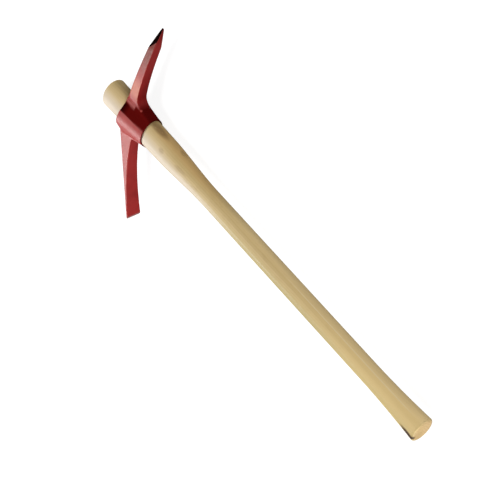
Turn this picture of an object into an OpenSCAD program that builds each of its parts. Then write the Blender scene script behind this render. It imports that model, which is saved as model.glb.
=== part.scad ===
// Pick axe with a point and a chisel: a forged head on a drop-through wooden handle.
// It lies on its side. The handle runs along X with its top end at +X,
// the point reaches to -Y and the chisel to +Y.

/* [Handle] */

// Length from the top end to the butt
handle_length = 914; // [760:1:1000]
// Width at the top end, in the plane of the swing
top_width = 65; // [61:0.2:68]
// Thickness at the top end, across the swing
top_thickness = 53; // [46:0.5:54]
// Chamfer around the top end
top_chamfer = 1.5; // [0.5:0.5:3]
// Width lost over each 100 mm of the taper that jams in the eye
taper_per_100 = 3.9; // [2.5:0.1:4.5]
// Length of that taper, from the top end
taper_length = 170; // [150:1:230]
// Length of the curve from the taper to the grip
neck_length = 150; // [90:1:200]
// Width of the grip
grip_width = 43.4; // [36:0.2:47]
// Length of the swell at the butt
swell_length = 144; // [80:1:200]
// Greatest width of the swell
butt_width = 55; // [48:0.2:56]
// Width of the flat face that ends the butt
butt_face_width = 46; // [36:0.5:48]
// Length of the round between the swell and that face
butt_round = 3.5; // [3:0.5:10]

/* [Collar] */

// Distance from the handle's top end down to the collar's rim, at the middle of the eye
handle_proud = 56.6; // [30:0.1:65]
// Depth of the collar there, from the rim to its lower end
collar_depth = 71; // [60:1:85]
// Lean of the rim, which rises towards the chisel, in degrees
rim_lean = 9; // [4:0.5:13]
// Width over the crowns of the flanks at the rim
flank_width = 62.6; // [60:0.2:70]
// Length of a flank along the rim
flank_length = 40; // [30:0.5:44]
// Distance of a flank's crown from the handle's middle, towards the chisel
flank_shift = 4; // [0:0.5:6]
// Height of a flank's crown above its two ends
flank_crown = 4; // [2:0.5:6]
// Wall left beside the eye at the lower end
lower_wall = 2.6; // [2:0.1:5]
// Reach of the collar towards the point
collar_reach_point = 38; // [37:0.5:44]
// Reach of the collar towards the chisel
collar_reach_chisel = 57; // [50:0.5:62]
// Space between the eye and the handle
eye_clearance = 0.3; // [0.2:0.05:0.5]

/* [Arms] */

// Reach of each arm from the middle of the handle
arm_reach = 249; // [200:1:300]
// Fall of both tips below the middle line of the point arm's root
tip_fall = 41; // [28:1:55]
// Height of the fillet between the point arm's underside and the collar
point_fillet = 36; // [10:0.5:38]
// Height of the fillet between the chisel arm's underside and the collar
chisel_fillet = 10; // [5:0.5:20]

/* [Point] */

// Depth of the point arm at its root
point_root_depth = 26.8; // [22:0.2:30]
// Depth of the point arm in its run
point_depth = 24.8; // [16:0.2:27]
// Depth of the point arm where the point starts
point_shoulder_depth = 14.4; // [12:0.2:17]
// Width of the point arm at its root
point_root_width = 22.8; // [18:0.2:25]
// Width of the point arm where the point starts
point_shoulder_width = 18.4; // [13:0.2:20]
// Length of the four-sided point
point_length = 54; // [35:1:80]
// Blunt left at the tip
point_tip = 4; // [2:0.2:6]
// Run of the point arm beyond the collar before its arc falls
point_run = 53.5; // [40:0.5:70]

/* [Chisel] */

// Depth of the chisel arm at its root
chisel_root_depth = 36; // [30:0.5:40]
// Width of the chisel arm at its root
chisel_root_width = 21; // [16:0.5:25]
// Width of the chisel's edge
chisel_edge_width = 33; // [24:0.5:44]
// Thickness of the chisel's edge
chisel_edge_thickness = 4; // [2:0.2:6]
// Corner radius at the ends of the edge
chisel_corner = 3; // [1:0.5:5]

/* [Hidden] */

$fn = 96;
curve_steps = 14;
corner_steps = 6;

taper = taper_per_100 / 100;
oval = top_thickness / top_width;
axis_height = flank_width / 2;
// Reach at which a flank ends on the point's side
flank = flank_length / 2 - flank_shift;
lower_end = handle_proud + collar_depth;
lower_reach = taper_width(lower_end) / 2 + eye_clearance + lower_wall;
chisel_top = rim(-collar_reach_chisel);
arm_depth = rim(flank) + point_root_depth / 2;
tip_depth = arm_depth + tip_fall;
// How far the roots of the arms sink into the collar
root_sink = 2;
// How far the fillets of the roots lead out along the arms
root_lead = 4;
// How far the collar stands proud of the sides of the point arm's root
nose_step = 0.8;
// How far the sides of the chisel arm's root stand proud of the collar's cheeks
cheek_step = 2;

function mix(p, q, t) = p + (q - p) * t;
function ease(t) = t * t * (3 - 2 * t);
function steps(n) = [for (i = [0 : n]) i / n];
function bend(p, q, r, t) = mix(mix(p, q, t), mix(q, r, t), t);
function mirrored(half) = concat(half, [for (i = [len(half) - 1 : -1 : 0]) [half[i][0], -half[i][1]]]);

// Depth of the rim at a reach from the handle's middle, below the handle's top end
function rim(reach) = handle_proud + tan(rim_lean) * min(reach, flank);
// Width of the handle's taper at a depth below its top end
function taper_width(depth) = top_width - taper * depth;
// Reach of the collar at a depth below its rim, where it is drafted from a reach at the rim
function drafted(reach, depth) = mix(reach, lower_reach, (depth - rim(flank)) / (lower_end - rim(flank)));
// Under edge of an arm's root: from a reach of the collar around the fillet to a point of the arm
function root_curve(reach, level, fillet, end) = let (foot = min(level + fillet, lower_end - root_sink))
    [for (t = steps(corner_steps)) bend(
        [drafted(reach, foot) - root_sink, foot], [drafted(reach, level) + root_lead, level], end, t)];

// Lays a shape made about the handle's axis, with depth from the top end, into the resting frame
module laid() {
    translate([handle_length / 2, 0, axis_height]) rotate([90, 0, -90]) children();
}

module flattened() {
    scale([1, oval, 1]) children();
}

// A bar cut to a side outline (reach, depth) and to half a plan outline (reach, half width)
module bar(side, half_plan) {
    intersection() {
        rotate([90, 0, 0])
            linear_extrude(height = flank_width, center = true) polygon(side);
        linear_extrude(height = 2 * tip_depth) polygon(mirrored(half_plan));
    }
}

// Handle: half of its profile, turned, flattened to the oval and sawn off flat at both ends
swell_start = handle_length - swell_length;
round_start = handle_length - butt_round;
saw_waste = 5;

handle_profile = concat(
    [[0, -saw_waste], [taper_width(0) / 2 - top_chamfer, -saw_waste],
        [taper_width(0) / 2 - top_chamfer, 0], [taper_width(top_chamfer) / 2, top_chamfer]],
    [for (t = steps(curve_steps))
        [mix(taper_width(taper_length), grip_width, ease(t)) / 2, taper_length + neck_length * t]],
    [for (t = steps(curve_steps))
        [mix(grip_width, butt_width, t * t) / 2, mix(swell_start, round_start, t)]],
    [for (t = steps(corner_steps)) if (t > 0)
        [mix(butt_face_width, butt_width, cos(90 * t)) / 2, round_start + butt_round * sin(90 * t)]],
    [[butt_face_width / 2, handle_length + saw_waste], [0, handle_length + saw_waste]]);

// Point arm: an arc that thickens into the collar and ends in a four-sided point
point_root = collar_reach_point + root_sink;
point_shoulder = arm_reach - point_length;

function point_line(t) = bend(
    [point_root, arm_depth], [collar_reach_point + point_run, arm_depth], [arm_reach, tip_depth], t);
// Share of the arc at which the point starts
point_share = [for (t = steps(200)) if (point_line(t)[0] >= point_shoulder) t][0];

// How quickly the arm thickens towards its root
point_spread = 4;
function point_half_depth(t) = let (s = 1 - t / point_share)
    mix(point_shoulder_depth, point_depth, s) / 2
    + (point_root_depth - point_depth) / 2 * pow(s, point_spread);
function point_edge(side) = [for (t = steps(curve_steps) * point_share)
    point_line(t) + [0, side * point_half_depth(t)]];

// Step of an arm's under edge at which the fillet of its root runs out
fillet_step = 2;

module point_arm() {
    under = point_edge(1);
    top = point_edge(-1);
    bar(side = concat(
            [[flank, under[0][1] + root_sink]],
            root_curve(collar_reach_point, under[0][1], point_fillet, under[fillet_step]),
            [for (i = [fillet_step + 1 : curve_steps]) under[i]],
            [[arm_reach, tip_depth + point_tip / 2], [arm_reach, tip_depth - point_tip / 2]],
            [for (i = [curve_steps : -1 : 0]) top[i]],
            [[flank, rim(flank) + root_sink]]),
        half_plan = [[0, point_root_width / 2], [point_root, point_root_width / 2],
            [point_shoulder, point_shoulder_width / 2], [arm_reach, point_tip / 2]]);
}

// Chisel arm: straight on top, hollow underneath, and wider towards its edge
function chisel_line(t) = mix(
    [-collar_reach_chisel, chisel_top], [-arm_reach, tip_depth], t);
// How quickly the underside hollows out from the root
chisel_hollow = 2.2;
function chisel_depth(t) = mix(chisel_edge_thickness, chisel_root_depth, pow(1 - t, chisel_hollow));

module chisel_arm() {
    under = [for (t = steps(curve_steps)) chisel_line(t) + [0, chisel_depth(t)]];
    level = under[0][1];
    root = root_curve(
        collar_reach_chisel, level, chisel_fillet, [-under[fillet_step][0], under[fillet_step][1]]);
    bar(side = concat(
            [[-flank, level + root_sink]],
            [for (p = root) [-p[0], p[1]]],
            [for (i = [fillet_step + 1 : curve_steps]) under[i]],
            [chisel_line(1), chisel_line(0), [-flank, rim(-flank) + root_sink]]),
        half_plan = concat(
            [[0, chisel_root_width / 2], [-collar_reach_chisel, chisel_root_width / 2]],
            [for (t = steps(corner_steps)) [
                -arm_reach + chisel_corner * (1 - sin(90 * t)),
                chisel_edge_width / 2 - chisel_corner * (1 - cos(90 * t))]]));
}

// Collar: a drafted boss around the eye, with crowned flanks at the rim and an oval lower end
module collar() {
    radius = (pow(flank_length / 2, 2) + pow(flank_crown, 2)) / (2 * flank_crown);
    sweep = asin(flank_length / 2 / radius);
    half_rim = concat(
        [[collar_reach_point, point_root_width / 2 + nose_step]],
        [for (t = steps(corner_steps)) let (angle = mix(sweep, -sweep, t))
            [radius * sin(angle) - flank_shift, flank_width / 2 - radius * (1 - cos(angle))]],
        [[-collar_reach_chisel, chisel_root_width / 2 - cheek_step]]);
    slab = 1;
    lower_sides = 48;
    hull() {
        translate([0, 0, chisel_top])
            linear_extrude(height = rim(flank) - chisel_top) polygon(mirrored(half_rim));
        translate([0, 0, lower_end - slab])
            flattened() cylinder(h = slab, r = lower_reach, $fn = lower_sides);
    }
}

// Everything above the rim
module above_rim() {
    beyond = 2 * collar_reach_chisel;
    rotate([90, 0, 0])
        linear_extrude(height = 2 * flank_width, center = true)
        polygon([[-beyond, 0], [-beyond, rim(-beyond)], [flank, rim(flank)],
            [beyond, rim(flank)], [beyond, 0]]);
}

// Eye: the handle's own taper with the clearance added, long enough to cut right through
module eye() {
    over = 20;
    from = chisel_top - over;
    to = lower_end + over;
    translate([0, 0, from])
        flattened()
        cylinder(h = to - from,
            r1 = taper_width(from) / 2 + eye_clearance, r2 = taper_width(to) / 2 + eye_clearance);
}

module pick_head() {
    color([0.65, 0.16, 0.16])
        laid()
        difference() {
            union() {
                difference() {
                    collar();
                    above_rim();
                }
                point_arm();
                chisel_arm();
            }
            eye();
        }
}

module handle() {
    color([0.82, 0.72, 0.52])
        laid()
        intersection() {
            flattened() rotate_extrude() polygon(handle_profile);
            translate([-top_width, -top_width, 0])
                cube([2 * top_width, 2 * top_width, handle_length]);
        }
}

pick_head();
handle();
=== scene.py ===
import math

import bpy
import numpy as np
from mathutils import Matrix, Vector


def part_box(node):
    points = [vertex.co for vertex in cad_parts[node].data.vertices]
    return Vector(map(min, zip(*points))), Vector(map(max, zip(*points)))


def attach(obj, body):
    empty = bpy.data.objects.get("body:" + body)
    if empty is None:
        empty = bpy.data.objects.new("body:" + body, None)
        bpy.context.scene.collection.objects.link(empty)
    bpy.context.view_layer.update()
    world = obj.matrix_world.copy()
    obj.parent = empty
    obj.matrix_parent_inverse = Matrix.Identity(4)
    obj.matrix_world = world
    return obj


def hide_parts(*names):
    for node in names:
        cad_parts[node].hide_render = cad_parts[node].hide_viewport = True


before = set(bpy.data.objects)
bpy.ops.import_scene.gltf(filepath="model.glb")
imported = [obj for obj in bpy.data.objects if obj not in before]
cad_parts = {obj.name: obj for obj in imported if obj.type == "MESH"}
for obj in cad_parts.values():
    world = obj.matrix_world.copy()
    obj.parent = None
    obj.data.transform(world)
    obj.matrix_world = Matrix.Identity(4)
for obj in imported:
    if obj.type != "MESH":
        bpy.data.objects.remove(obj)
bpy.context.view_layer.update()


# Handle
# One straight length of pale ash, turned and then shaved to an oval. Its top end flares so that the
# head jams on it, the long grip is waisted, the butt swells, and both ends are sawn off square.

handle_low, handle_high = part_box("handle")
top_x = handle_high.x
axis_z = (handle_low.z + handle_high.z) / 2
collar_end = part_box("pick_head")[0].x
top_width, top_thickness = 0.065, 0.053
handle_sizes = {
    "Length": handle_high.x - handle_low.x,
    "Top Width": top_width,
    "Oval": top_thickness / top_width,
    "Top Chamfer": 0.0015,
    "Taper": 0.039,
    "Taper Length": 0.170,
    "Neck Length": 0.150,
    "Grip Width": 0.0434,
    "Swell Length": 0.144,
    "Butt Width": 0.055,
    "Butt Face Width": 0.040,
    "Butt Round": 0.0045,
    "Shaving": 0.00022,
}


class Strand:
    """One socket of a node tree. Arithmetic on strands adds Math nodes to the tree."""

    def __init__(self, tree, socket=None):
        self.tree = tree
        self.socket = socket

    def node(self, kind, inputs=None, out=0, **settings):
        made = self.tree.nodes.new(kind)
        for name, value in settings.items():
            setattr(made, name, value)
        for name, value in (inputs or {}).items():
            if isinstance(value, Strand):
                self.tree.links.new(value.socket, made.inputs[name])
            else:
                made.inputs[name].default_value = value
        return Strand(self.tree, made.outputs[out] if made.outputs else None)

    def also(self, out):
        return Strand(self.tree, self.socket.node.outputs[out])

    def math(self, operation, first, second=0.0):
        return self.node("ShaderNodeMath", {0: first, 1: second}, operation=operation)

    def __add__(self, other):
        return self.math("ADD", self, other)

    def __radd__(self, other):
        return self.math("ADD", other, self)

    def __sub__(self, other):
        return self.math("SUBTRACT", self, other)

    def __rsub__(self, other):
        return self.math("SUBTRACT", other, self)

    def __mul__(self, other):
        return self.math("MULTIPLY", self, other)

    def __rmul__(self, other):
        return self.math("MULTIPLY", other, self)

    def __truediv__(self, other):
        return self.math("DIVIDE", self, other)

    def __rtruediv__(self, other):
        return self.math("DIVIDE", other, self)

    def least(self, other):
        return self.math("MINIMUM", self, other)

    def most(self, other):
        return self.math("MAXIMUM", self, other)

    def share(self):
        return self.least(1.0).most(0.0)

    def ease(self):
        return self * self * (3.0 - 2.0 * self)

    def sine(self):
        return self.math("SINE", self)

    def cosine(self):
        return self.math("COSINE", self)

    def root(self):
        return self.math("SQRT", self)

    def between(self, start, end):
        return ((self - start) / (end - start)).share().ease()


def srgb(red, green, blue):
    """A colour given as it looks on a screen, 0 to 255, as the linear values that shaders take."""
    parts = [c / 255 for c in (red, green, blue)]
    return tuple(p / 12.92 if p <= 0.04045 else ((p + 0.055) / 1.055) ** 2.4 for p in parts)


def dye(under, over, amount):
    """One colour laid over another by an amount. A plain colour is given as it looks on a screen."""
    under, over = (c if isinstance(c, Strand) else (*srgb(*c), 1.0) for c in (under, over))
    return amount.node("ShaderNodeMix", {0: amount, 6: under, 7: over}, out=2, data_type="RGBA")


def new_material(name):
    material = bpy.data.materials.new(name)
    material.use_nodes = True
    tree = material.node_tree
    shader = tree.nodes["Principled BSDF"]
    return material, Strand(tree), shader


def ash_wood():
    material, make, shader = new_material("ash_wood")
    place = make.node("ShaderNodeTexCoord", out="Object")
    along = place.node("ShaderNodeSeparateXYZ", {0: place}, out="X")
    side, height = along.also("Y"), along.also("Z")

    def streaks(length_scale, cross_scale, detail=4.0, rough=0.55, turn=0.0):
        drawn_out = place.node("ShaderNodeMapping", {
            "Vector": place, "Scale": (length_scale, cross_scale, cross_scale),
            "Location": (turn, turn * 1.7, turn * 0.6)})
        return place.node("ShaderNodeTexNoise", {
            "Vector": drawn_out, "Scale": 1.0, "Detail": detail, "Roughness": rough}, out="Fac")

    # Growth rings around a pith that lies well outside the handle, wandering slowly along it
    wander = streaks(2.2, 14.0, 3.0, turn=3.0) - 0.5
    ripple = streaks(9.0, 60.0, 3.0, turn=7.0) - 0.5
    pith_side, pith_height, ring_gap = 0.075, 0.115, 0.0046
    wander_reach, ripple_reach = 0.012, 0.0016
    out_side, out_height = side - pith_side, height - pith_height
    radius = (out_side * out_side + out_height * out_height).root()
    rings = (radius + wander * wander_reach + ripple * ripple_reach) / ring_gap
    ring = rings.math("FRACT", rings)
    late = ring.between(0.35, 0.93) * (1.0 - ring.between(0.93, 1.0))

    fibre = streaks(16.0, 900.0, 5.0, 0.6, turn=1.0)
    pores = streaks(34.0, 1500.0, 2.0, 0.5, turn=5.0).between(0.60, 0.72) * late
    broad = streaks(3.0, 26.0, 3.0, turn=11.0)

    pale, tan, brown = (220, 194, 139), (208, 178, 115), (160, 124, 78)
    colour = dye(pale, tan, (late * 0.45 + (fibre - 0.5) * 0.5 + 0.2).share())
    colour = dye(colour, (222, 193, 137), broad.between(0.52, 0.78) * 0.45)
    colour = dye(colour, brown, pores * 0.22)
    flecks = streaks(70.0, 150.0, 3.0, turn=23.0)
    colour = dye(colour, brown, flecks.between(0.5, 0.75) * 0.13)

    # The wood is lighter and yellower towards the butt. The rest is painted light that evens the shading
    # across the handle: the side below is painted lighter, and warmer along the neck, the other side is
    # painted lighter near the head with a painted highlight where it lies uppermost, and painted shade
    # darkens that side along the grip. Places along the handle are in metres from its middle
    up_side, up_height = 0.646, 0.936
    colour = dye(colour, (243, 213, 148), (1.0 - along.between(-0.38, -0.02)) * 0.8)
    rise = (height - axis_z) / handle_sizes["Oval"]
    girth = (rise * rise + side * side).root().most(0.001)
    uppermost = ((height - axis_z) * up_height + side * up_side) / girth
    # Painted light: the side below is lighter, and warmer along the neck
    shaded_side = (0.0 - uppermost).between(-0.1, 0.7)
    colour = dye(colour, (243, 214, 156), shaded_side * (1.0 - along.between(0.0, 0.16)) * 0.9)
    colour = dye(colour, (232, 206, 156), along.between(0.22, 0.30) * (1.0 - shaded_side) * 0.7)
    neck_shaded_side = shaded_side * along.between(0.06, 0.20) * (1.0 - along.between(0.29, 0.33))
    colour = dye(colour, (229, 188, 122), neck_shaded_side * 0.8)
    # Painted highlight on the uppermost side near the head
    spread = ((along + 0.03) * 1.7).most(0.0).least(0.62)
    painted_highlight = (uppermost + spread).between(0.60, 1.35) * along.between(-0.12, 0.10)
    colour = dye(colour, (210, 196, 178), painted_highlight * 0.84)
    # Painted shade on the uppermost side along the grip
    painted_shade = uppermost.between(0.25, 0.90) * (1.0 - 0.88 * along.between(0.0, 0.20))
    painted_shade = painted_shade * (0.6 + 0.4 * along.between(-0.32, -0.14)) * (1.0 - along.between(0.30, 0.33))
    colour = dye(colour, (184, 164, 104), painted_shade)

    # Two of the spokeshave's flats meet along the lower half: a painted highlight runs along the ridge
    # between them, and painted shade greys one of them
    ridge_slope = 0.368
    off_ridge = height - axis_z + side * ridge_slope
    lower_half = (1.0 - along.between(-0.16, -0.06)) * along.between(-0.445, -0.40)
    lower_half = lower_half * (1.0 - side.between(-0.012, -0.006))
    # Painted shade on one flat
    shaded_flat = off_ridge.between(-0.0095, -0.0075) * (1.0 - off_ridge.between(-0.0012, -0.0004))
    colour = dye(colour, (186, 164, 120), shaded_flat * lower_half * 0.15)
    # Painted highlight along the ridge
    ridge_highlight = off_ridge.between(-0.0010, 0.0) * (1.0 - off_ridge.between(0.0, 0.0010))
    colour = dye(colour, (240, 224, 190), ridge_highlight * lower_half * 0.7)

    # Grime that the head has rubbed into the neck, with a few smudges further down. Each smudge has
    # its place, length, width, mottling and strength
    def patch(spot, length, width):
        ax, ay, az = (along - spot[0]) / length, (side - spot[1]) / width, (height - spot[2]) / width
        return 1.0 - (ax * ax + ay * ay + az * az).root().between(0.35, 1.0)

    smudges = (
        ((0.3080, -0.0294, 0.0318), 0.040, 0.0110, (0.12, 0.50), 1.00),
        ((0.2710, -0.0147, 0.0517), 0.010, 0.0065, (0.15, 0.50), 0.50),
        ((0.2135, -0.0135, 0.0486), 0.022, 0.0045, (0.12, 0.50), 0.42),
        ((0.1650, -0.0062, 0.0488), 0.016, 0.0050, (0.35, 0.60), 0.50),
        ((0.2355, -0.0265, 0.0265), 0.014, 0.0070, (0.35, 0.60), 0.70),
    )
    blot = streaks(60.0, 260.0, 4.0, 0.65, turn=17.0)
    grime = 0.0
    for spot, length, width, mottling, strength in smudges:
        grime = (patch(spot, length, width) * blot.between(*mottling) * strength).most(grime)
    colour = dye(colour, (132, 96, 60), grime * 0.62)
    # Painted shadow of the collar: a dark band on the wood just below its lower rim
    above_edge = along.between(collar_end, collar_end + 0.003)
    collar_shadow = along.between(collar_end - 0.0035, collar_end - 0.0008) * (1.0 - above_edge)
    colour = dye(colour, (120, 74, 48), collar_shadow * (0.2 + 0.2 * blot))

    # Sawn end grain drinks in more light than the shaved sides
    facing = place.node("ShaderNodeNewGeometry", out="Normal")
    end = facing.node("ShaderNodeSeparateXYZ", {0: facing}, out="X")
    end = end.math("ABSOLUTE", end).between(0.80, 0.96)
    colour = dye(colour, (212, 178, 128), end * (0.60 + 0.25 * late))

    # A dark streak of heartwood that the saw left at the edge of the butt
    heartwood = streaks(50.0, 500.0, 2.0, turn=29.0).between(0.1, 0.4)
    colour = dye(colour, (58, 31, 9), patch((-0.445, 0.0080, 0.0518), 0.029, 0.0085) * heartwood)

    tree = make.tree
    tree.links.new(colour.socket, shader.inputs["Base Color"])
    tree.links.new((0.46 + late * 0.10 + end * 0.2 + pores * 0.15).socket, shader.inputs["Roughness"])
    saw = streaks(1.0, 300.0, 2.0, turn=31.0)
    nap = streaks(12.0, 260.0, 1.0, turn=1.0)
    grain_height = nap * 0.8 + late * 0.35 + end * saw * 1.2
    bump = place.node("ShaderNodeBump", {"Height": grain_height, "Strength": 0.14, "Distance": 0.0004})
    tree.links.new(bump.socket, shader.inputs["Normal"])
    shader.inputs["Specular IOR Level"].default_value = 0.25
    return material


def turned_handle(material):
    """Rings of an oval follow the handle's width from the middle of one end to that of the other."""
    tree = bpy.data.node_groups.new("turned_handle", "GeometryNodeTree")
    tree.is_modifier = True
    for name in handle_sizes:
        tree.interface.new_socket(name, in_out="INPUT", socket_type="NodeSocketFloat")
    tree.interface.new_socket("Geometry", in_out="OUTPUT", socket_type="NodeSocketGeometry")
    make = Strand(tree)
    given = make.node("NodeGroupInput", out="Length")
    length, top, oval = given, given.also("Top Width"), given.also("Oval")
    chamfer, rounding = given.also("Top Chamfer"), given.also("Butt Round")
    taper, taper_end = given.also("Taper"), given.also("Taper Length")
    grip, butt, face = given.also("Grip Width"), given.also("Butt Width"), given.also("Butt Face Width")
    neck, swell = given.also("Neck Length"), given.also("Swell Length")

    around, rings, face_walk, seam_gap = 96, 380, 0.004, 1e-6
    crowding, full_turn = 0.93, 2 * math.pi
    grid = make.node("GeometryNodeMeshGrid", {
        "Size X": 1.0, "Size Y": 1.0, "Vertices X": around + 1, "Vertices Y": rings})
    spot = make.node("GeometryNodeInputPosition")
    turn = make.node("ShaderNodeSeparateXYZ", {0: spot}, out="X")
    step = turn.also("Y") + 0.5
    # Rings crowd together at both ends, where the chamfer and the round are
    crowded = step - (step * full_turn).sine() * (crowding / full_turn)
    walk = crowded * (length + 2 * face_walk)
    depth = (walk - face_walk).most(0.0).least(length)
    in_face = (walk / face_walk).least((length + 2 * face_walk - walk) / face_walk).share()

    width = top - taper * depth.least(taper_end)
    width = width + (grip - width) * ((depth - taper_end) / neck).share().ease()
    round_start = length - rounding
    swollen = ((depth - (length - swell)) / (swell - rounding)).share()
    width = width + (butt - grip) * swollen * swollen
    curl = ((depth - round_start) / rounding).share()
    width = width - (butt - face) * (1.0 - (1.0 - curl * curl).most(0.0).root())
    width = width - 2.0 * (chamfer - depth.least(chamfer))

    # The spokeshave leaves long shallow flats
    angle = turn * full_turn
    flats_along, flats_around = 5.0, 1.6
    rolled = make.node("ShaderNodeCombineXYZ", {
        0: depth * flats_along, 1: angle.cosine() * flats_around, 2: angle.sine() * flats_around})
    flats = make.node("ShaderNodeTexNoise", {"Vector": rolled, "Scale": 1.0, "Detail": 2.0}, out="Fac")
    reach = (width / 2.0 - given.also("Shaving") * flats) * in_face
    placed = make.node("ShaderNodeCombineXYZ", {
        0: top_x - depth, 1: reach * angle.cosine(), 2: axis_z + reach * oval * angle.sine()})
    shaped = make.node("GeometryNodeSetPosition", {"Geometry": grid, "Position": placed})
    closed = make.node("GeometryNodeMergeByDistance", {"Geometry": shaped, "Distance": seam_gap})
    smooth = make.node("GeometryNodeSetShadeSmooth", {"Geometry": closed})
    real = make.node("GeometryNodeRealizeInstances", {"Geometry": smooth})
    done = make.node("GeometryNodeSetMaterial", {"Geometry": real, "Material": material})
    make.node("NodeGroupOutput", {"Geometry": done})

    blank = bpy.data.objects.new("handle_blank", bpy.data.meshes.new("handle_blank"))
    bpy.context.scene.collection.objects.link(blank)
    modifier = blank.modifiers.new("turning", "NODES")
    modifier.node_group = tree
    for item in tree.interface.items_tree:
        if item.in_out == "INPUT":
            modifier[item.identifier] = handle_sizes[item.name]
    bpy.context.view_layer.update()
    evaluated = blank.evaluated_get(bpy.context.evaluated_depsgraph_get())
    mesh = bpy.data.meshes.new_from_object(evaluated)
    blank.modifiers.remove(modifier)
    bpy.data.objects.remove(blank)
    return mesh


handle_mesh = turned_handle(ash_wood())
handle_mesh.name = "ash_handle"
ash_handle = bpy.data.objects.new("ash_handle", handle_mesh)
bpy.context.scene.collection.objects.link(ash_handle)
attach(ash_handle, "handle")
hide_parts("handle")


# Pick head
# One drop forging: a point arm and a chisel arm grow out of a collar with a tapered oval eye.
# It is dipped in red paint, and the chisel's edge is ground bare. It slips over the butt and jams.

head_low, head_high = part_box("pick_head")

# The forging's sizes are in mm, and it stays just inside the frame's box
mm, inside_box = 1000, 0.05
forging = {
    "reach": head_high.y * mm,
    "lower_end": (top_x - head_low.x) * mm,
    "handle_proud": 56.6,
    "rim_lean": 9.0,
    "half_height": (head_high.z - head_low.z) * mm / 2 - inside_box,
    "flank": 20.0,
    "flank_shift": 4.0,
    "flank_crown": 4.0,
    "lower_skew": 0.12,
    "skew_from": -5.0,
    "lower_wall": 2.6,
    "point_root": 38.0,
    "chisel_root": 57.0,
    "tip_fall": 41.0,
    "eye_clearance": 0.3,
}


def ramp(value, start, end):
    """0 up to start, 1 from end on, and even between them. The end may also be the lower of the two."""
    return np.clip((value - start) / (end - start), 0, 1)


def join(a, b, size):
    """The nearer of two shapes, with a fillet where they meet."""
    blend = np.maximum(size - np.abs(a - b), 0) / size
    return np.minimum(a, b) - blend * blend * size / 4


def cut(a, b, size):
    """What lies in both shapes, with a rounded edge where they meet."""
    return -join(-a, -b, size)


def rounded(a, b, radius):
    """A bar's section from the distances to its sides, with its corners rounded."""
    outside = np.hypot(np.maximum(a + radius, 0), np.maximum(b + radius, 0))
    return outside + np.minimum(np.maximum(a, b) + radius, 0) - radius


def slopes(surface, points, gap=0.05):
    """The way that a surface faces at each point."""
    def beside(step):
        return surface(*(points + step).T)

    return np.stack([(beside(gap * e) - beside(-gap * e)) / (2 * gap) for e in np.eye(3)], 1)


def skin(surface, low, high):
    """Meshes the zero of a distance: a point in each cell of a grid that it crosses, and quads between."""
    cell, slab = 1.0, 32
    ticks = [np.arange(low[i], high[i] + cell, cell) for i in range(3)]
    count = [len(t) for t in ticks]
    values = np.empty(count, np.float32)
    for i in range(0, count[0], slab):
        block = np.meshgrid(ticks[0][i:i + slab], ticks[1], ticks[2], indexing="ij")
        values[i:i + slab] = surface(*block)
    inside = values < 0

    corners = [(a, b, c) for a in (0, 1) for b in (0, 1) for c in (0, 1)]
    view = {k: tuple(slice(s, n - 1 + s) for s, n in zip(k, count)) for k in corners}
    filled = sum(inside[view[k]].astype(np.int8) for k in corners)
    live = (filled > 0) & (filled < len(corners))
    cells = np.argwhere(live)
    number = np.full(live.shape, -1, np.int64)
    number[live] = np.arange(len(cells))

    # Each cell's point is the middle of the places where the surface crosses the cell's edges
    total, hits = np.zeros((len(cells), 3)), np.zeros(len(cells))
    for k in corners:
        for axis in range(3):
            if k[axis]:
                continue
            far = tuple(1 if i == axis else k[i] for i in range(3))
            near_value, far_value = values[view[k]][live], values[view[far]][live]
            crossed = (near_value < 0) != (far_value < 0)
            part = near_value[crossed] / (near_value[crossed] - far_value[crossed])
            spot = np.tile(np.array(k, float), (len(part), 1))
            spot[:, axis] = part
            total[crossed] += spot
            hits[crossed] += 1
    points = low + cell * (cells + total / hits[:, None])

    # Each crossed edge of the grid gets a quad between the four cells around it
    quads = []
    for axis in range(3):
        b, c = (axis + 1) % 3, (axis + 2) % 3
        first, second = [slice(None)] * 3, [slice(None)] * 3
        first[axis], second[axis] = slice(0, -1), slice(1, None)
        start, end = inside[tuple(first)], inside[tuple(second)]
        spots = np.argwhere(start != end)
        within = [(spots[:, i] > 0) & (spots[:, i] < count[i] - 1) for i in (b, c)]
        spots = spots[within[0] & within[1]]
        ring = []
        for db, dc in ((1, 1), (0, 1), (0, 0), (1, 0)):
            around = spots.copy()
            around[:, b] -= db
            around[:, c] -= dc
            ring.append(number[tuple(around.T)])
        ring = np.stack(ring, 1)
        leaving = start[tuple(spots.T)]
        quads.append(np.where(leaving[:, None], ring, ring[:, ::-1]))

    # The points are then drawn onto the surface itself
    rounds, least_slope, longest_nudge = 2, 0.2, 0.5
    for _ in range(rounds):
        value, slope = surface(*points.T), slopes(surface, points)
        nudge = -value[:, None] * slope / np.maximum((slope ** 2).sum(1), least_slope)[:, None]
        size = np.maximum(np.linalg.norm(nudge, axis=1), 1e-9)
        points = points + nudge * np.minimum(1, longest_nudge / size)[:, None]
    return points, np.concatenate(quads)


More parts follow.
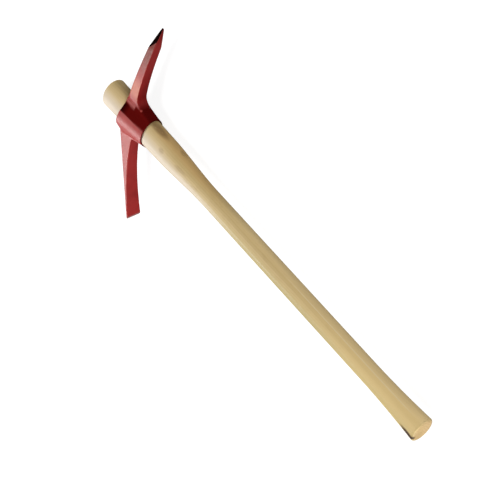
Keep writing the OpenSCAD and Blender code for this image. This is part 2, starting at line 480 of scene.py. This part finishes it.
def forged_head():
    """Makes the forging from the distance to its surface, and marks where its paint is worn and where
    shade is painted on it.

    Reach runs along the arms, towards the point. Depth runs down the handle from its top end, and across
    is the third direction.
    """
    reach_end, lower_end = forging["reach"], forging["lower_end"]
    flank, shift = forging["flank"], forging["flank_shift"]
    point_root, chisel_root = forging["point_root"], forging["chisel_root"]
    lean = math.tan(math.radians(forging["rim_lean"]))
    taper, oval = handle_sizes["Taper"], handle_sizes["Oval"]

    def rim(reach):
        return forging["handle_proud"] + lean * np.minimum(reach, flank - shift)

    def lower_rim(across):
        return lower_end + forging["lower_skew"] * np.maximum(across - forging["skew_from"], 0)

    def eye_width(depth):
        return top_width * mm / 2 - taper * depth / 2 + forging["eye_clearance"]

    point_rim, chisel_rim = float(rim(flank - shift)), float(rim(-chisel_root))
    lower_reach = eye_width(lower_end) + forging["lower_wall"]

    def draft(depth):
        return ramp(depth, point_rim, lower_end)

    # A leaning face's distance is taken square to it, by the cosine of its lean
    arm_square, nose_square, rim_square = 0.95, 0.964, 0.985

    # Collar: crowned flanks and flat cheeks at the rim, drawn down to an oval at the lower end
    point_cheek, chisel_cheek = 12.2, 8.5
    soft_turn, soft_reach = 9.0, 40
    crown_radius = (flank ** 2 + forging["flank_crown"] ** 2) / (2 * forging["flank_crown"])
    sweep = math.asin(flank / crown_radius)
    swings = np.linspace(sweep, -sweep, 41)
    rim_half = np.array(
        [(point_root, 0.0), (point_root, point_cheek)]
        + [(crown_radius * math.sin(a) - shift,
            forging["half_height"] - crown_radius * (1 - math.cos(a))) for a in swings]
        + [(-chisel_root, chisel_cheek), (-chisel_root, 0.0)])
    walk = np.concatenate([[0], np.cumsum(np.hypot(*np.diff(rim_half, axis=0).T))])
    fine = np.linspace(0, walk[-1], 4000)
    rim_fine = np.stack([np.interp(fine, walk, rim_half[:, i]) for i in (0, 1)], 1)
    rim_turns = np.arctan2(rim_fine[:, 1], rim_fine[:, 0])
    turns = np.linspace(0, math.pi, 1441)
    rim_radii = np.interp(turns, rim_turns, np.hypot(*rim_fine.T))
    soft = np.exp(-0.5 * (np.arange(-soft_reach, soft_reach + 1) / soft_turn) ** 2)
    rim_radii = np.convolve(np.pad(rim_radii, soft_reach, "reflect"), soft / soft.sum(), "valid")
    lower_radii = lower_reach * oval / np.hypot(oval * np.cos(turns), np.sin(turns))
    rim_slopes, lower_slopes = np.gradient(rim_radii, turns), np.gradient(lower_radii, turns)

    def collar(reach, across, depth):
        turn, t = np.arctan2(np.abs(across), reach), draft(depth)
        upper, lower = np.interp(turn, turns, rim_radii), np.interp(turn, turns, lower_radii)
        radius = upper + (lower - upper) * t
        steep = np.interp(turn, turns, rim_slopes) * (1 - t) + np.interp(turn, turns, lower_slopes) * t
        fall = (lower - upper) / (lower_end - point_rim)
        return (np.hypot(reach, across) - radius) / np.sqrt(1 + (steep / radius) ** 2 + fall ** 2)

    # Point arm: a falling arc, ground to a four-sided point with two more facets on top
    arm_start = 16.0
    root_depth, run_depth, shoulder_depth, tip = 26.8, 24.8, 14.4, 4.0
    root_half, shoulder_half = 11.4, 9.2
    root_lap, point_run, point_length = 2.0, 53.5, 54.0
    nose_lean, nose_clear, nose_fillet, nose_round = 0.275, 1.5, 14.0, 1.6
    facet_back, facet_ahead, facet_edge, tip_edge = 6.0, 21.0, 0.6, 2.0
    arm_round, arm_round_share = 1.0, 0.6
    arm_depth = point_rim + root_depth / 2
    tip_depth = arm_depth + forging["tip_fall"]
    arc_start, shoulder = point_root + root_lap, reach_end - point_length
    arc_control = point_root + point_run
    lead, bow = 2 * (arc_control - arc_start), arc_start - 2 * arc_control + reach_end

    def along_arc(reach):
        return (np.sqrt(np.maximum(lead ** 2 - 4 * bow * (arc_start - reach), 0)) - lead) / (2 * bow)

    shoulder_share = float(along_arc(shoulder))

    def point_section(reach):
        t = along_arc(np.clip(reach, arc_start, shoulder))
        left = 1 - t / shoulder_share
        ground = ramp(reach, shoulder, reach_end)
        deep = shoulder_depth + (run_depth - shoulder_depth) * left + (root_depth - run_depth) * left ** 4
        half = deep / 2
        middle = arm_depth + forging["tip_fall"] * t * t
        wide = np.interp(reach, [arc_start, shoulder, reach_end], [root_half, shoulder_half, tip / 2])
        return middle + (tip_depth - middle) * ground, half + (tip / 2 - half) * ground, wide

    def corner(reach, side):
        middle, half, wide = point_section(np.array(reach))
        return np.array([reach, float(wide), float(middle + side * half)])

    facet_top, facet_under = corner(shoulder - facet_back, -1), corner(shoulder + facet_ahead, 1)
    facet_tip = np.array([reach_end, tip / 4, tip_depth])
    facet_face = np.cross(facet_under - facet_top, facet_tip - facet_top)
    facet_face /= np.linalg.norm(facet_face)
    facet_slope = (facet_under[0] - facet_top[0]) / (facet_under[2] - facet_top[2])

    def past_facet(reach, depth):
        """How far a spot lies beyond the line where the facets start."""
        return reach - facet_top[0] - (depth - facet_top[2]) * facet_slope

    def point_arm(reach, across, depth):
        middle, half, wide = point_section(reach)
        side = (np.abs(depth - middle) - half) * arm_square
        nose = (reach - lower_reach - nose_clear - (lower_end - depth) * nose_lean) * nose_square
        side = join(side, np.maximum(nose, arm_depth - depth), nose_fillet)
        on_nose = ramp(depth, arm_depth + 9, arm_depth + 31) * ramp(reach, 70, 50)
        soft = np.minimum(arm_round, arm_round_share * np.minimum(half, wide)) + nose_round * on_nose
        bar = rounded(side, np.abs(across) - wide, soft)
        facet = ((reach - facet_top[0]) * facet_face[0] + (np.abs(across) - facet_top[1]) * facet_face[1]
                 + (depth - facet_top[2]) * facet_face[2])
        bar = cut(bar, facet, facet_edge)
        return np.maximum(cut(bar, reach - reach_end, tip_edge), arm_start - reach)

    # Chisel arm: straight on top, hollow underneath, and wider towards its edge
    chisel_root_depth, edge_depth, hollow = 36.0, 4.0, 2.2
    chisel_root_half, edge_half, edge_corner = 10.5, 16.5, 3.0
    chisel_fillet, chisel_round, bevel, bevel_share = 8.0, 0.6, 4.0, 0.25

    def chisel_arm(reach, across, depth):
        t = ramp(-reach, chisel_root, reach_end)
        deep = edge_depth + (chisel_root_depth - edge_depth) * (1 - t) ** hollow
        deep = deep * np.clip((reach_end + reach) / bevel, bevel_share, 1)
        middle = chisel_rim + (tip_depth - chisel_rim) * t + deep / 2
        side = (np.abs(depth - middle) - deep / 2) * arm_square
        back = -reach - (chisel_root + (lower_reach - chisel_root) * draft(depth))
        side = join(side, np.maximum(back, arm_depth - depth), chisel_fillet)
        wide = chisel_root_half + (edge_half - chisel_root_half) * t
        plan = rounded(np.abs(across) - wide, -reach - reach_end, edge_corner)
        return np.maximum(rounded(side, plan, chisel_round), arm_start + reach)

    def eye(reach, across, depth):
        wide = eye_width(depth)
        swing = np.hypot(reach / wide, across / (wide * oval)) + 1e-9
        return (swing - 1) * swing / np.hypot(reach / wide ** 2, across / (wide * oval) ** 2 + 1e-12)

    # The whole head: the arms blend into the collar, then its two ends and the eye are cut
    point_blend, chisel_blend, far_inside = 9.0, 3.0, -50.0
    rim_edge, lower_edge, eye_edge = 1.0, 1.4, 1.6

    def surface(reach, across, depth):
        arms = np.minimum(point_arm(reach, across, depth), chisel_arm(reach, across, depth))
        shape = join(collar(reach, across, depth), arms, np.where(reach > 0, point_blend, chisel_blend))
        under_rim = (reach > -chisel_root) & (reach < arc_start)
        shape = cut(shape, np.where(under_rim, (rim(reach) - depth) * rim_square, far_inside), rim_edge)
        shape = cut(shape, depth - lower_rim(across), lower_edge)
        return cut(shape, -eye(reach, across, depth), eye_edge)

    margin, rim_margin, lower_margin = 2.5, 3.5, 6.5
    half_height = forging["half_height"]
    points, quads = skin(
        surface,
        np.array([-reach_end - margin, -half_height - margin, chisel_rim - rim_margin]),
        np.array([reach_end + margin, half_height + margin, lower_end + lower_margin]))

    # Edges and corners, by how fast the surface turns away around a spot
    gap = 1.5
    sharp = sum(surface(*(points + gap * e * sign).T) for e in np.eye(3) for sign in (1, -1))
    sharp = sharp - 6 * surface(*points.T)

    # Painted shade: on the point's side of the collar and its nose, but less where the nose meets the arm,
    # lighter under the arm, along the lower rim, and nearly black beside the point's root
    faces_point, _, faces_down = slopes(surface, points).T
    reach, across, depth = points.T
    middle, half, _ = point_section(reach)
    below_arm = depth - middle - half
    nose = ramp(below_arm, -1.5, 0.5) * ramp(faces_down, 0.55, 0.35) * ramp(reach, 24, 27)
    under = ramp(faces_down, 0.0, 0.4)
    front_start = 0.36 - 0.2 * under
    front = ramp(faces_point, front_start, front_start + 0.08 + 0.55 * under)
    shade = np.maximum(front, nose) * ramp(reach, 80, 70) * ramp(reach, 8, 13)
    nose_top = arm_depth + root_depth / 2
    shade = shade * (1 - 0.7 * ramp(reach, 38, 42) * ramp(depth, nose_top + 17, nose_top + 5))
    under_arm = ramp(faces_down, 0.6, 0.8) * ramp(reach, 30, 40)
    under_arm = under_arm * (0.32 + 0.4 * ramp(reach, shoulder + 5, shoulder + 40))
    lower_line = ramp(depth - lower_rim(across), -2.2, -1.4)
    shade = np.maximum(np.maximum(shade, under_arm), lower_line)
    shade = shade * (1 + ramp(depth, point_rim + 16, point_rim + 2) * ramp(reach, 12, 16))

    # Bare facets on top of the point
    ground = ramp(past_facet(reach, depth), -0.75, 0.75) * ramp(faces_down, 0.75, 0.75 - 1 / 3)

    mesh = bpy.data.meshes.new("forged_head")
    laid = np.stack([top_x - depth / mm, -reach / mm, axis_z + across / mm], 1)
    mesh.from_pydata(laid.tolist(), [], quads.tolist())
    for name, marks in (("edge", sharp), ("shade", shade), ("ground", ground)):
        mesh.attributes.new(name, "FLOAT", "POINT").data.foreach_set("value", marks.astype(np.float32))
    mesh.polygons.foreach_set("use_smooth", np.ones(len(mesh.polygons), bool))
    mesh.validate()
    mesh.update()
    return mesh


def red_paint():
    material, make, shader = new_material("red_paint")
    place = make.node("ShaderNodeTexCoord", out="Object")
    side = place.node("ShaderNodeSeparateXYZ", {0: place}, out="Y")
    edge = place.node("ShaderNodeAttribute", attribute_name="edge", out="Fac")

    def cloud(scale, detail=4.0, rough=0.55):
        return place.node("ShaderNodeTexNoise", {
            "Vector": place, "Scale": scale, "Detail": detail, "Roughness": rough}, out="Fac")

    red, deep, bright = (164, 37, 36), (136, 22, 22), (186, 56, 52)
    thick = cloud(26.0)
    colour = dye(red, deep, thick.between(0.45, 0.75) * 0.6)
    colour = dye(colour, bright, edge.between(0.35, 1.4) * 0.5)
    # Painted shade darkens the hollows
    colour = dye(colour, (96, 12, 16), (0.0 - edge).between(0.3, 1.5) * 0.6)

    # Painted light on the upper cheek of the point arm: a pale painted sheen at its root and painted
    # shade, brown, towards the tip
    facing = place.node("ShaderNodeNewGeometry", out="Normal")
    cheek = facing.node("ShaderNodeSeparateXYZ", {0: facing}, out="Z").between(0.5, 0.9)
    outwards = 0.0 - side
    root_sheen = outwards.between(0.045, 0.065) * (1.0 - outwards.between(0.078, 0.118))
    colour = dye(colour, (187, 97, 74), cheek * root_sheen)
    colour = dye(colour, (118, 26, 5), cheek * outwards.between(0.088, 0.178))

    # Painted shade on the point's side of the collar, under the arm and along the lower rim, nearly black
    # beside the point's root
    shade = place.node("ShaderNodeAttribute", attribute_name="shade", out="Fac")
    colour = dye(colour, (93, 12, 10), (shade * 0.96).share())
    colour = dye(colour, (34, 2, 3), (shade - 1.0).share())

    # Bare ground steel along the chisel's edge, with a few nicks through the paint behind it
    edge_end, ragged_by = head_high.y, 0.0022
    ragged = cloud(420.0, 3.0) * ragged_by
    bare = (side + ragged).between(edge_end - 0.0068, edge_end - 0.0010)
    chips = edge.between(0.9, 1.8) * cloud(240.0, 3.0).between(0.66, 0.72)
    bare = bare.most(chips * 0.55)
    steel = dye((188, 166, 162), (160, 140, 136), cloud(500.0))
    colour = dye(colour, steel, bare)

    # A painted highlight: one glint on the collar, below the point's root
    glint_spot = (top_x - 0.1015, -0.0405, axis_z + 0.0102)
    glint = place.node(
        "ShaderNodeVectorMath", {0: place, 1: glint_spot}, out="Value", operation="DISTANCE")
    colour = dye(colour, (180, 78, 70), 1.0 - glint.between(0.0010, 0.0032))

    # The facets on top of the point are bare black forge scale
    scale = place.node("ShaderNodeAttribute", attribute_name="ground", out="Fac").between(0.3, 0.7)
    colour = dye(colour, (20, 6, 6), scale)

    tree = make.tree
    tree.links.new(colour.socket, shader.inputs["Base Color"])
    peel = cloud(900.0, 2.0)
    scale_marks = cloud(75.0, 5.0, 0.6)
    roughness = 0.34 + thick * 0.10 + scale_marks * 0.08 + bare * 0.12
    tree.links.new(roughness.socket, shader.inputs["Roughness"])
    tree.links.new((bare * 0.3).socket, shader.inputs["Metallic"])
    relief = scale_marks * 0.8 + peel * 0.12 - bare * 0.15
    lumps = place.node("ShaderNodeBump", {"Height": relief, "Strength": 0.22, "Distance": 0.0011})
    tree.links.new(lumps.socket, shader.inputs["Normal"])
    shader.inputs["Specular IOR Level"].default_value = 0.25
    shader.inputs["Specular Tint"].default_value = (1.0, 0.97, 0.86, 1.0)
    # The painted shade and the forge scale are matte
    dull = make.node("ShaderNodeBsdfDiffuse", {"Color": colour, "Normal": lumps})
    dullness, gloss = shade.share().most(scale), Strand(tree, shader.outputs[0])
    coat = make.node("ShaderNodeMixShader", {0: dullness, 1: gloss, 2: dull})
    tree.links.new(coat.socket, tree.nodes["Material Output"].inputs["Surface"])
    return material


head_mesh = forged_head()
head_mesh.materials.append(red_paint())
forged_pick_head = bpy.data.objects.new("forged_pick_head", head_mesh)
bpy.context.scene.collection.objects.link(forged_pick_head)
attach(forged_pick_head, "head")
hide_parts("pick_head")


# Floor
# A plain sheet of white board that the tool lies on. It shows white and still takes the shadow.

floor_mesh = bpy.data.meshes.new("white_board")
board_half = 6.0
board_corners = [(x * board_half, y * board_half, 0) for x, y in ((-1, -1), (1, -1), (1, 1), (-1, 1))]
floor_mesh.from_pydata(board_corners, [], [(0, 1, 2, 3)])
white_board = bpy.data.objects.new("white_board", floor_mesh)
bpy.context.scene.collection.objects.link(white_board)


def backdrop_shows(make):
    """How much of the white surroundings shows: all to the camera, and a little in a reflection."""
    seen = make.node("ShaderNodeLightPath", out="Is Camera Ray")
    return seen.most(seen.also("Is Glossy Ray") * 0.12).most(seen.also("Is Transmission Ray"))


board, make, shader = new_material("white_board")
shader.inputs["Base Color"].default_value = (0.25, 0.25, 0.25, 1.0)
shader.inputs["Roughness"].default_value = 0.9
shader.inputs["Specular IOR Level"].default_value = 0.1
place = make.node("ShaderNodeTexCoord", out="Object")
away = make.node("ShaderNodeVectorMath", {0: place}, out="Value", operation="LENGTH")
# Just short of white by the tool, where its shadow shows, and white all over further off
whiteness = 0.9 + 0.1 * away.between(1.0, 2.5)
shows = backdrop_shows(make) * whiteness
glow = make.node("ShaderNodeEmission", {"Color": (1.0, 1.0, 1.0, 1.0), "Strength": shows})
lit = make.node("ShaderNodeAddShader", {0: Strand(make.tree, shader.outputs[0]), 1: glow})
make.tree.links.new(lit.socket, make.tree.nodes["Material Output"].inputs["Surface"])
floor_mesh.materials.append(board)


# Light and camera
# One soft box stands behind the tool on the chisel's side and one hangs over its top end. Two more
# stand low by the butt. The camera looks down at the tool from the butt end on the point's side.

scene = bpy.context.scene
scene.view_settings.view_transform = "Standard"

room_light = 0.03
room = bpy.data.worlds.new("room")
room.use_nodes = True
walls = room.node_tree.nodes["Background"]
walls.inputs["Color"].default_value = (1.0, 1.0, 1.0, 1.0)
shows = backdrop_shows(Strand(room.node_tree))
room.node_tree.links.new(shows.most(room_light).socket, walls.inputs["Strength"])
scene.world = room

lamp_aim, lamp_away, lamp_width = Vector((0.3, 0.0, 0.03)), 2.6, 1.3


def soft_box(name, swing, rise, power):
    """A round soft box, aimed near the head, at a bearing from the handle's top end and at a height."""
    lamp = bpy.data.lights.new(name, "AREA")
    lamp.shape = "DISK"
    lamp.size = lamp_width
    lamp.energy = power
    lamp_object = bpy.data.objects.new(name, lamp)
    bearing, height = math.radians(swing), math.radians(rise)
    level = math.cos(height)
    away = Vector((level * math.cos(bearing), level * math.sin(bearing), math.sin(height)))
    lamp_object.location = lamp_aim + lamp_away * away
    lamp_object.rotation_euler = (-away).to_track_quat("-Z", "Y").to_euler()
    lamp_object.visible_camera = False
    scene.collection.objects.link(lamp_object)


soft_box("key_box", 60, 33, 48.0)
soft_box("high_box", 0, 60, 40.0)
soft_box("chisel_box", 150, 12, 45.0)
soft_box("front_box", 240, 12, 29.0)

camera = bpy.data.cameras.new("camera")
camera.sensor_width = 36.0
camera.lens = 99.58
camera.clip_end = 50.0
camera_object = bpy.data.objects.new("camera", camera)
stand = Vector((-1.10259, -1.83556, 1.29665))
sight = Vector((0.44479, 0.73971, -0.50497))
look = sight.to_track_quat("-Z", "Y").to_matrix().to_4x4()
roll = Matrix.Rotation(math.radians(-115.356), 4, "Z")
camera_object.matrix_world = Matrix.Translation(stand) @ look @ roll
scene.collection.objects.link(camera_object)
scene.camera = camera_object
